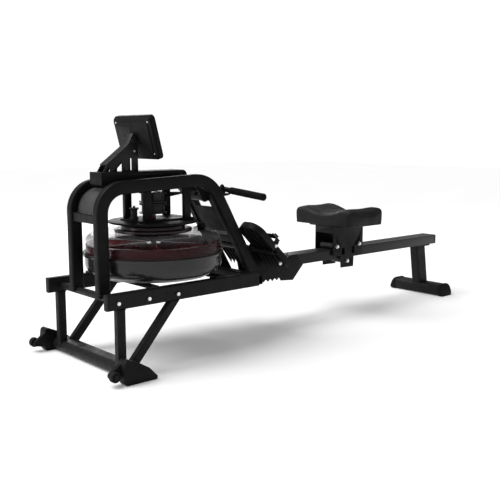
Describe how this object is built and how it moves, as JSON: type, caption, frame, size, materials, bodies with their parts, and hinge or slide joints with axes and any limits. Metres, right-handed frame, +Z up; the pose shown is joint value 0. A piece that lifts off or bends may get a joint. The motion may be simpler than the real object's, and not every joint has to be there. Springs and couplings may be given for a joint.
{
  "type": "rowing machine",
  "caption": "Water rowing machine with a round tank in a black hooped frame, a single rail with a sliding seat, foot plates and a tilting monitor.",
  "frame": {"origin": "Middle of the footprint on the floor, half way along the machine.", "axes": "+X runs along the length from the tank end to the rear foot, +Y to the right of a rower who faces the tank, +Z is up."},
  "size_m": [1.995, 0.565, 0.8349],
  "materials": {
    "black_steel": "satin",
    "panel_grey": "satin",
    "black_plastic": "matte",
    "bright_bolts": "polished",
    "bracket_grey": "satin",
    "rail_alloy": "satin",
    "rubber": "matte",
    "red_rubber": "matte",
    "clear_shell": "gloss",
    "smoky_shell": "gloss",
    "base_grey": "matte",
    "tank_water": "clear",
    "dark_red_plastic": "gloss",
    "webbing": "woven",
    "foam": "matte",
    "cushion": "matte",
    "grey_plastic": "matte",
    "bearing_steel": "brushed"
  },
  "bodies": {
    "frame": {"front_stabilizer": "black_steel", "front_foot_caps": "black_plastic", "wheel_axles": "bright_bolts", "front_legs": "black_steel", "diagonal_struts": "black_steel", "lower_rail_left": "black_steel", "lower_rail_right": "black_steel", "tube_end_caps": "black_plastic", "frame_bolts": "bright_bolts", "front_crossbar": "black_steel", "rear_cross_member": "black_steel", "hoop_left": "black_steel", "hoop_right": "black_steel", "hoop_cross_tubes": "black_steel", "cover_panels": "panel_grey", "spine_beam": "black_steel", "foot_frame": "black_steel", "rail_bracket": "black_steel", "slide_rail": "rail_alloy", "rail_stops": "rubber", "rear_post": "black_steel", "rear_stabilizer": "black_steel", "rear_foot_caps": "black_plastic", "tank_lower_shell": "smoky_shell", "tank_upper_shell": "clear_shell", "tank_seal": "red_rubber", "tank_base_ring": "base_grey", "tank_supports": "black_steel", "tank_plug": "black_plastic", "water": "tank_water", "hub_cover": "dark_red_plastic", "mounting_plate": "black_plastic", "hanging_posts": "black_steel", "guide_bracket": "black_steel", "footplates": "black_plastic", "foot_straps": "webbing", "handle_cradle": "black_steel", "handle_strap": "webbing", "console_bracket": "bracket_grey", "shaft_bearings": "bearing_steel"},
    "left_wheel": {"transport_wheel_left": "rubber"},
    "right_wheel": {"transport_wheel_right": "rubber"},
    "paddle": {"impeller": "dark_red_plastic"},
    "drum": {"strap_drum": "grey_plastic"},
    "guide": {"guide_roller": "grey_plastic"},
    "cord_pulley": {"bungee_pulley": "grey_plastic"},
    "handle": {"handle_bar": "black_steel", "handle_grips": "foam"},
    "seat": {"seat_pad": "cushion", "seat_carriage": "black_steel"},
    "front_roller": {"roller_front": "grey_plastic"},
    "rear_roller": {"roller_rear": "grey_plastic"},
    "under_roller": {"roller_lower": "grey_plastic"},
    "left_heel": {"heel_slider_left": "grey_plastic"},
    "right_heel": {"heel_slider_right": "grey_plastic"},
    "monitor": {"monitor_case": "black_plastic", "monitor_bezel": "black_plastic"},
    "left_button": {"button_left": "grey_plastic"},
    "middle_button": {"button_middle": "grey_plastic"},
    "right_button": {"button_right": "grey_plastic"}
  },
  "joints": [
    {"name": "left_wheel_spin", "type": "hinge", "parent": "frame", "child": "left_wheel", "pos_m": [-0.9805, -0.2705, 0.034], "axis": [0, 1, 0], "continuous": true},
    {"name": "right_wheel_spin", "type": "hinge", "parent": "frame", "child": "right_wheel", "pos_m": [-0.9805, 0.2705, 0.034], "axis": [0, 1, 0], "continuous": true},
    {"name": "paddle_spin", "type": "hinge", "parent": "frame", "child": "paddle", "pos_m": [-0.644, 0, 0.33], "axis": [0, 0, 1], "continuous": true},
    {"name": "handle_pull", "type": "slide", "parent": "frame", "child": "handle", "axis": [1, 0, 0], "range_m": [0, 0.9], "stiffness_N_per_m": 12, "springref_m": -0.5},
    {"name": "drum_spin", "type": "hinge", "parent": "frame", "child": "drum", "pos_m": [-0.644, 0, 0.53], "axis": [0, 0, 1], "continuous": true},
    {"name": "guide_spin", "type": "hinge", "parent": "frame", "child": "guide", "pos_m": [-0.442, 0, 0.545], "axis": [0, 1, 0], "continuous": true},
    {"name": "cord_pulley_spin", "type": "hinge", "parent": "frame", "child": "cord_pulley", "pos_m": [-0.722, 0, 0.5], "axis": [0, 0, 1], "continuous": true},
    {"name": "seat_slide", "type": "slide", "parent": "frame", "child": "seat", "axis": [1, 0, 0], "range_m": [-0.23, 0.5]},
    {"name": "front_roller_spin", "type": "hinge", "parent": "seat", "child": "front_roller", "pos_m": [0.263, 0, 0.2943], "axis": [0, 1, 0], "continuous": true},
    {"name": "rear_roller_spin", "type": "hinge", "parent": "seat", "child": "rear_roller", "pos_m": [0.407, 0, 0.2943], "axis": [0, 1, 0], "continuous": true},
    {"name": "under_roller_spin", "type": "hinge", "parent": "seat", "child": "under_roller", "pos_m": [0.329, 0, 0.2262], "axis": [0, 1, 0], "continuous": true},
    {"name": "left_heel_slide", "type": "slide", "parent": "frame", "child": "left_heel", "axis": [0.7193, 0, -0.6947], "range_m": [-0.018, 0.02]},
    {"name": "right_heel_slide", "type": "slide", "parent": "frame", "child": "right_heel", "axis": [0.7193, 0, -0.6947], "range_m": [-0.018, 0.02]},
    {"name": "monitor_tilt", "type": "hinge", "parent": "frame", "child": "monitor", "pos_m": [-0.735, 0, 0.748], "axis": [0, 1, 0], "range_deg": [-5, 9]},
    {"name": "left_button_press", "type": "slide", "parent": "monitor", "child": "left_button", "axis": [-0.9681, 0, -0.2504], "range_m": [0, 0.0015], "stiffness_N_per_m": 300},
    {"name": "middle_button_press", "type": "slide", "parent": "monitor", "child": "middle_button", "axis": [-0.9681, 0, -0.2504], "range_m": [0, 0.0015], "stiffness_N_per_m": 300},
    {"name": "right_button_press", "type": "slide", "parent": "monitor", "child": "right_button", "axis": [-0.9681, 0, -0.2504], "range_m": [0, 0.0015], "stiffness_N_per_m": 300}
  ],
  "couplings": [
    {"joint": "drum_spin", "follows": "handle_pull", "rad_per_m": -25.641},
    {"joint": "guide_spin", "follows": "handle_pull", "rad_per_m": 62.5},
    {"joint": "cord_pulley_spin", "follows": "handle_pull", "rad_per_m": -90.909},
    {"joint": "front_roller_spin", "follows": "seat_slide", "rad_per_m": 76.923},
    {"joint": "rear_roller_spin", "follows": "seat_slide", "rad_per_m": 76.923},
    {"joint": "under_roller_spin", "follows": "seat_slide", "rad_per_m": -83.333}
  ]
}
